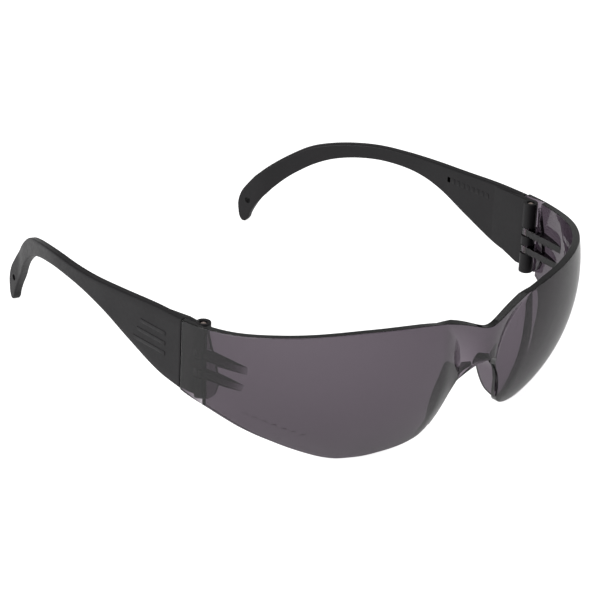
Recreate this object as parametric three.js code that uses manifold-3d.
// Frameless safety glasses: a one-piece smoke lens with two folding temples.
// Units are millimetres. +Z is up, -Y is the way the wearer looks, +X is the wearer's left.
// The glasses stand on their two lens lobes and the two temple tips.
import * as THREE from 'three';
import { mergeVertices } from 'three/addons/utils/BufferGeometryUtils.js';
import Module from 'manifold-3d';

const wasm = await Module();
wasm.setup();

const { degToRad, lerp, smoothstep } = THREE.MathUtils;

// Lens lobes: each is part of a sphere that turns upright towards its temple and back towards the nose.
const lobeRadius = 54.4;
const lobeOffset = 16.5;
const lobeCentreY = 54.4;
const lobeCentreZ = 34.6;
const sideRadius = 53.6;
const uprightFrom = degToRad(55);
const uprightTo = degToRad(86);
const noseTurn = 1.5;
const noseTurnFrom = degToRad(-1);
const noseTurnTo = degToRad(9);
const lensWall = 2.2;

// Bridge: it bulges forward between the two creases where the lobes end, over a rounded nose arch.
const bridgeY = -1;
const archTop = 27.1;
const archSide = 21.1;
const archPower = 2.7;
const bridgeTop = 37.8;
const bridgeRise = 1.95;
const creaseTop = 43.2;
const creaseLow = 7.5;
const creaseFlare = 9.7;
const creaseTurnZ = 20;

// Lens outline as [angle round the lobe in degrees, height].
const lensEndAngle = 87;
const browOutline = [[9, 44.4], [20, 45.1], [33, 45], [53, 43.3], [70, 41.5], [lensEndAngle, 40.6]];
const cheekOutline = [
  [-7.1, 16.7], [-4.7, 11.1], [-1.5, 5], [5, 2], [15, 0.8], [23, 0], [32, 0], [39, 1.3], [45, 3.2],
  [54, 6.3], [60, 8.7], [66, 11.6], [72, 14.6], [78, 16.8], [lensEndAngle, 18.8],
];

// Nose flange: the edge where it leaves the lens and its free edge, top to bottom.
const flangeRoot = [
  [3.7, 3, 26.9], [6.7, 4.4, 24.4], [9.3, 4.6, 21], [11, 5.4, 16.5], [13.1, 7.1, 11.5], [14.9, 8.7, 8.3],
];
const flangeEdge = [
  [5.2, 8, 25.2], [6.5, 9.5, 23.8], [8, 11.2, 20.6], [10, 11.9, 15.9], [12.2, 11.6, 11], [14.2, 10.2, 8],
];
const flangeWall = 1.8;

// Hinge: an upright pin through five stacked rings, three on the temple and two on the lens.
const hingeX = 65.8;
const hingeY = 47;
const knuckleRadius = 2.2;
const eyeRadius = 1.95;
const boreRadius = 1.15;
const pinRadius = 0.85;
const pinBottom = 18;
const pinTop = 40.2;
const knuckleBottom = 17.5;
const knuckleTop = 40.6;
const gussetThickness = 2.3;
const gussetTipX = 62.7;
const lowerGussetZ = 25.4;
const upperGussetZ = 31.2;
const gap = 0.3;

// Lens end: a rebate for the temple's tongue, with a raised pad in front of its shoulder.
const rebateX = 68.3;
const shoulderY = 43.6;
const padRise = 1.1;

// Temple: a flat bar whose rear half bends inwards, straightens a little and runs flat to its tip.
const templeX = 69.8;
const templeWall = 2.5;
const templeFront = 52;
const bendStart = 85;
const bendPeak = 149;
const bendSettle = 152.5;
const peakSlope = 0.58;
const tipSlope = 0.26;
const edgeChamfer = 0.6;
const tongueWall = 1.8;
const tongueDrop = 0.3;
const tongueRear = { y: 64, low: 21.7, high: 39.6, sunk: 0.05 };
const templeUpper = [
  [templeFront, 40.5], [64, 40.2], [78, 39.1], [91, 38.2], [103, 37.5], [113, 36.8], [122, 35.3],
  [130, 33.2], [136.5, 30.6], [142.4, 26.6], [148, 21.9], [152, 17.7], [155.1, 13.8], [157.4, 10.4],
  [158.6, 6.6], [158.4, 3], [157.9, 1.1], [157, 0],
];
const templeLower = [
  [templeFront, 18.8], [62, 20.4], [75, 25.2], [87, 30], [98, 32.4], [110, 32.5], [120, 31],
  [128, 28.6], [134, 25.6], [138.8, 22.2], [143, 18.6], [146.8, 14.5], [149.4, 11.1], [151.3, 8.2],
  [152.9, 5.4], [154, 3.2], [154.6, 1.4], [155.6, 0],
];
const cordHole = { y: 154.8, z: 7.8, radius: 1 };

// ---------------------------------------------------------------- solids and meshes

function toSolid(geometry) {
  const bare = geometry.clone();
  bare.deleteAttribute('normal');
  bare.deleteAttribute('uv');
  const merged = mergeVertices(bare, 1e-4);
  const vertProperties = new Float32Array(merged.attributes.position.array);
  const triVerts = new Uint32Array(merged.index.array);
  return new wasm.Manifold(new wasm.Mesh({ numProp: 3, vertProperties, triVerts }));
}

function toGeometry(solid) {
  const { numProp, vertProperties, triVerts } = solid.getMesh();
  const position = new Float32Array((vertProperties.length / numProp) * 3);
  for (let i = 0; i < position.length / 3; i++) {
    for (let axis = 0; axis < 3; axis++) {
      position[3 * i + axis] = vertProperties[numProp * i + axis];
    }
  }
  const geometry = new THREE.BufferGeometry();
  geometry.setAttribute('position', new THREE.BufferAttribute(position, 3));
  geometry.setIndex([...triVerts]);
  geometry.computeVertexNormals();
  return geometry;
}

function mirrored(geometry) {
  const copy = geometry.clone().scale(-1, 1, 1);
  const index = copy.index.array;
  for (let i = 0; i < index.length; i += 3) {
    [index[i], index[i + 1]] = [index[i + 1], index[i]];
  }
  copy.computeVertexNormals();
  return copy;
}

// A closed body from two facing sheets of points, sheet[column][row]. The outer sheet faces out where its
// columns run to the right and its rows run up.
function slab(outer, inner) {
  const columns = outer.length;
  const rows = outer[0].length;
  const points = [...outer.flat(), ...inner.flat()];
  const at = (side, i, j) => side * columns * rows + i * rows + j;
  const index = [];
  const quad = (a, b, c, d) => index.push(a, b, c, a, c, d);
  for (let i = 0; i + 1 < columns; i++) {
    for (let j = 0; j + 1 < rows; j++) {
      quad(at(0, i, j), at(0, i + 1, j), at(0, i + 1, j + 1), at(0, i, j + 1));
      quad(at(1, i, j), at(1, i, j + 1), at(1, i + 1, j + 1), at(1, i + 1, j));
    }
    quad(at(0, i, 0), at(1, i, 0), at(1, i + 1, 0), at(0, i + 1, 0));
    quad(at(0, i, rows - 1), at(0, i + 1, rows - 1), at(1, i + 1, rows - 1), at(1, i, rows - 1));
  }
  for (let j = 0; j + 1 < rows; j++) {
    quad(at(0, 0, j), at(0, 0, j + 1), at(1, 0, j + 1), at(1, 0, j));
    const last = columns - 1;
    quad(at(0, last, j), at(1, last, j), at(1, last, j + 1), at(0, last, j + 1));
  }
  const geometry = new THREE.BufferGeometry().setFromPoints(points);
  geometry.setIndex(index);
  return geometry;
}

// An upright round bar or cutter on the hinge axis.
function hingeCylinder(radius, from, to, segments = 24) {
  const geometry = new THREE.CylinderGeometry(radius, radius, to - from, segments);
  geometry.rotateX(Math.PI / 2);
  return toSolid(geometry.translate(hingeX, hingeY, (from + to) / 2));
}

function box(x0, x1, y0, y1, z0, z1) {
  const geometry = new THREE.BoxGeometry(x1 - x0, y1 - y0, z1 - z0);
  return toSolid(geometry.translate((x0 + x1) / 2, (y0 + y1) / 2, (z0 + z1) / 2));
}

// ---------------------------------------------------------------- lens

function lobePoint(angle, z, depth) {
  const sphere = Math.sqrt((lobeRadius - depth) ** 2 - (z - lobeCentreZ) ** 2);
  const radius = lerp(sphere, sideRadius - depth, smoothstep(angle, uprightFrom, uprightTo));
  const back = noseTurn * smoothstep(-angle, noseTurnFrom, noseTurnTo);
  return new THREE.Vector3(
    lobeOffset + radius * Math.sin(angle),
    lobeCentreY - radius * Math.cos(angle) + back,
    z,
  );
}

function creaseAngle(z) {
  const flare = Math.max(0, (z - creaseTurnZ) / (creaseTop - creaseTurnZ)) ** 3;
  const x = creaseLow + creaseFlare * flare;
  return Math.asin((x - lobeOffset) / Math.sqrt(lobeRadius ** 2 - (z - lobeCentreZ) ** 2));
}

// Across the bridge, from the mid plane (0) to the crease (1).
function bridgePoint(across, z, depth) {
  const crease = lobePoint(creaseAngle(z), z, depth);
  const bulge = Math.cos((across * Math.PI) / 2);
  return new THREE.Vector3(across * crease.x, lerp(crease.y, bridgeY + depth, bulge), z);
}

function outlineCurve(first, outline) {
  const points = [first, ...outline].map(([angle, z]) => new THREE.Vector2(degToRad(angle) * lobeRadius, z));
  return new THREE.SplineCurve(points);
}

// Half of the lens as a sheet of points at one depth below the outer surface, mid plane first.
function halfLens(depth) {
  const bridgeColumns = 9;
  const lobeColumns = 30;
  const rows = 12;
  const sheet = [];
  const heights = (low, high) => Array.from({ length: rows + 1 }, (_, j) => lerp(low, high, j / rows));
  for (let i = 0; i < bridgeColumns; i++) {
    const across = i / bridgeColumns;
    const low = lerp(archTop, archSide, across ** archPower);
    const rise = across ** 2 * lerp(bridgeRise, 1, across);
    const high = lerp(bridgeTop, creaseTop, rise);
    sheet.push(heights(low, high).map((z) => bridgePoint(across, z, depth)));
  }
  const creaseDegrees = (z) => THREE.MathUtils.radToDeg(creaseAngle(z));
  const cheek = outlineCurve([creaseDegrees(archSide), archSide], cheekOutline);
  const brow = outlineCurve([creaseDegrees(creaseTop), creaseTop], browOutline);
  for (let i = 0; i <= lobeColumns; i++) {
    const along = i / lobeColumns;
    const low = cheek.getPointAt(along);
    const high = brow.getPointAt(along);
    const column = heights(Math.max(0, low.y), high.y).map((z, j) => {
      const straight = lerp(low.x, high.x, j / rows) / lobeRadius;
      const chord = lerp(creaseAngle(archSide), creaseAngle(creaseTop), j / rows);
      const creaseZ = lerp(archSide, creaseTop, j / rows);
      return lobePoint(straight + (creaseAngle(creaseZ) - chord) * (1 - along) ** 6, z, depth);
    });
    sheet.push(column);
  }
  return sheet;
}

function wholeLens(depth) {
  const right = halfLens(depth);
  const left = right.slice(1).reverse().map((column) => column.map((p) => new THREE.Vector3(-p.x, p.y, p.z)));
  return [...left, ...right];
}

// A ruled wing from the nose edge back towards the face.
function noseFlange() {
  const columns = 14;
  const root = new THREE.CatmullRomCurve3(flangeRoot.map((p) => new THREE.Vector3(...p)));
  const edge = new THREE.CatmullRomCurve3(flangeEdge.map((p) => new THREE.Vector3(...p)));
  const noseSide = [];
  const lensSide = [];
  for (let i = 0; i <= columns; i++) {
    const start = root.getPoint(i / columns);
    const end = edge.getPoint(i / columns);
    const run = root.getTangent(i / columns);
    const away = new THREE.Vector3().crossVectors(run, end.clone().sub(start)).normalize();
    noseSide.push([start, end]);
    lensSide.push([start, end].map((p) => p.clone().addScaledVector(away, -flangeWall)));
  }
  return toSolid(slab(noseSide, lensSide));
}

// The raised pad on the inner wall, between the gussets and the shoulder of the rebate.
function shoulderPad() {
  const outline = [[39.8, 77.6], [35.4, 76.2], [31.4, 74.6], [25.4, 73.4], [21, 74.6], [18.6, 77]];
  const shoulderAngle = degToRad(77.9);
  const columns = (depth) => outline.map(([z, degrees]) => (
    [lobePoint(degToRad(degrees), z, depth), lobePoint(shoulderAngle, z, depth)]
  ));
  return toSolid(slab(columns(lensWall / 2), columns(lensWall + padRise)));
}

// A flat rib from the inner wall back to the eye that the pin runs through.
function gusset(z) {
  const rootRadius = lobeRadius - 1.5;
  const frontAngle = Math.asin((gussetTipX - lobeOffset) / rootRadius);
  const rearAngle = degToRad(77.5);
  const shape = new THREE.Shape();
  shape.moveTo(hingeX - eyeRadius, hingeY);
  const arcSteps = 8;
  for (let i = 0; i <= arcSteps; i++) {
    const angle = lerp(frontAngle, rearAngle, i / arcSteps);
    shape.lineTo(lobeOffset + rootRadius * Math.sin(angle), lobeCentreY - rootRadius * Math.cos(angle));
  }
  shape.lineTo(hingeX + eyeRadius, shoulderY + 1);
  shape.lineTo(hingeX + eyeRadius, hingeY);
  shape.absarc(hingeX, hingeY, eyeRadius, 0, Math.PI, false);
  const geometry = new THREE.ExtrudeGeometry(shape, {
    depth: gussetThickness,
    bevelEnabled: false,
    curveSegments: 10,
  });
  return toSolid(geometry.translate(0, 0, z - gussetThickness / 2));
}

function lensGeometry() {
  const rebate = box(hingeX - 6, rebateX, shoulderY, templeFront, 0, 45);
  const eyeBore = hingeCylinder(boreRadius, lowerGussetZ - 3, upperGussetZ + 3);
  const fittings = noseFlange()
    .add(shoulderPad())
    .add(gusset(lowerGussetZ))
    .add(gusset(upperGussetZ))
    .subtract(eyeBore);
  const leftFittings = toGeometry(fittings);
  let body = toSolid(slab(wholeLens(0), wholeLens(lensWall)));
  body = body.subtract(rebate).subtract(toSolid(mirrored(toGeometry(rebate))));
  return toGeometry(body.add(fittings).add(toSolid(mirrored(leftFittings))));
}

// ---------------------------------------------------------------- temple

// How fast the bar runs inwards at a distance from the front.
function bendSlope(y) {
  const rising = (peakSlope * Math.max(0, y - bendStart)) / (bendPeak - bendStart);
  const settled = Math.min(1, (y - bendPeak) / (bendSettle - bendPeak));
  return y < bendPeak ? rising : lerp(peakSlope, tipSlope, settled);
}

// How far inwards the bar has moved by then.
function bendOffset(y) {
  const rising = Math.max(0, Math.min(y, bendPeak) - bendStart);
  const turning = Math.max(0, Math.min(y, bendSettle) - bendPeak);
  const straight = Math.max(0, y - bendSettle);
  const fromRise = (peakSlope * rising ** 2) / (2 * (bendPeak - bendStart));
  const fromTurn = (turning * (peakSlope + bendSlope(bendPeak + turning))) / 2;
  return fromRise + fromTurn + straight * tipSlope;
}

// A point of the temple at a depth below its outer face, with the bar bent inwards.
function bentPoint(y, z, depth) {
  const angle = Math.atan(bendSlope(y));
  return new THREE.Vector3(templeX - bendOffset(y) - depth * Math.cos(angle), y - depth * Math.sin(angle), z);
}

// The bar: rings of eight points with chamfered corners, from the hinge panel to the tip.
function bar() {
  const stations = 40;
  const upper = new THREE.SplineCurve(templeUpper.map((p) => new THREE.Vector2(...p)));
  const lower = new THREE.SplineCurve(templeLower.map((p) => new THREE.Vector2(...p)));
  const points = [];
  for (let i = 0; i <= stations; i++) {
    const top = upper.getPoint(i / stations);
    const bottom = lower.getPoint(i / stations);
    const cut = Math.min(edgeChamfer, top.distanceTo(bottom) / 3) / top.distanceTo(bottom);
    const ring = [
      [edgeChamfer, 0], [templeWall - edgeChamfer, 0], [templeWall, cut], [templeWall, 1 - cut],
      [templeWall - edgeChamfer, 1], [edgeChamfer, 1], [0, 1 - cut], [0, cut],
    ];
    ring.forEach(([depth, up]) => {
      points.push(bentPoint(lerp(bottom.x, top.x, up), lerp(bottom.y, top.y, up), depth));
    });
  }
  const sides = 8;
  const index = [];
  for (let i = 0; i < stations; i++) {
    for (let k = 0; k < sides; k++) {
      const a = i * sides + k;
      const b = i * sides + ((k + 1) % sides);
      index.push(a, b, b + sides, a, b + sides, a + sides);
    }
  }
  for (let k = 1; k + 1 < sides; k++) {
    const last = stations * sides;
    index.push(0, k + 1, k, last, last + k, last + k + 1);
  }
  const geometry = new THREE.BufferGeometry().setFromPoints(points);
  geometry.setIndex(index);
  return toSolid(geometry);
}

// The tongue between the barrel and the bar, which thins out into the bar's inner face.
function tongue() {
  const low = templeLower[0][1] - tongueDrop;
  const high = templeUpper[0][1];
  const face = hingeX + knuckleRadius;
  const barFace = templeX - templeWall + tongueRear.sunk;
  const stations = [
    [hingeY, face - tongueWall, low, high],
    [templeFront, face - tongueWall, low, high],
    [tongueRear.y, barFace, tongueRear.low, tongueRear.high],
  ];
  const outer = stations.map(([y, , z0, z1]) => [z0, z1].map((z) => new THREE.Vector3(face, y, z)));
  const inner = stations.map(([y, x, z0, z1]) => [z0, z1].map((z) => new THREE.Vector3(x, y, z)));
  return toSolid(slab(outer, inner));
}

function templeGeometry() {
  const barrel = hingeCylinder(knuckleRadius, knuckleBottom, knuckleTop);
  let solid = bar().add(tongue()).add(barrel);
  for (const z of [lowerGussetZ, upperGussetZ]) {
    const half = gussetThickness / 2 + gap;
    solid = solid.subtract(hingeCylinder(knuckleRadius + 0.15, z - half, z + half, 32));
  }
  solid = solid.subtract(hingeCylinder(boreRadius, knuckleBottom - 1, knuckleTop + 1));
  const drill = new THREE.CylinderGeometry(cordHole.radius, cordHole.radius, 3 * templeWall, 16);
  const centre = bentPoint(cordHole.y, cordHole.z, templeWall / 2);
  drill.rotateZ(Math.PI / 2 + Math.atan(bendSlope(cordHole.y)));
  drill.translate(centre.x, centre.y, centre.z);
  return toGeometry(solid.subtract(toSolid(drill)));
}

// ---------------------------------------------------------------- pin

function pinGeometry() {
  const bevel = 0.2;
  const profile = [
    [0, pinBottom], [pinRadius - bevel, pinBottom], [pinRadius, pinBottom + bevel],
    [pinRadius, pinTop - bevel], [pinRadius - bevel, pinTop], [0, pinTop],
  ].map(([radius, z]) => new THREE.Vector2(radius, z));
  const geometry = new THREE.LatheGeometry(profile, 16);
  geometry.rotateX(Math.PI / 2);
  return toGeometry(toSolid(geometry.translate(hingeX, hingeY, 0)));
}

// ---------------------------------------------------------------- assembly

const smoke = new THREE.MeshStandardMaterial({ color: 0x4a464b, roughness: 0.08, metalness: 0 });
const nylon = () => new THREE.MeshStandardMaterial({ color: 0x2b292c, roughness: 0.55, metalness: 0 });
const steel = () => new THREE.MeshStandardMaterial({ color: 0x97877f, roughness: 0.35, metalness: 1 });

function named(name, geometry, material) {
  const mesh = new THREE.Mesh(geometry, material);
  mesh.name = name;
  return mesh;
}

const glasses = new THREE.Group();
const temple = templeGeometry();
const pin = pinGeometry();
glasses.add(
  named('lens', lensGeometry(), smoke),
  named('left_temple', temple, nylon()),
  named('right_temple', mirrored(temple), nylon()),
  named('left_hinge_pin', pin, steel()),
  named('right_hinge_pin', mirrored(pin), steel()),
);

// The origin is on the resting surface, under the middle of the glasses.
const bounds = new THREE.Box3().setFromObject(glasses);
glasses.position.y = -(bounds.min.y + bounds.max.y) / 2;

export default glasses;
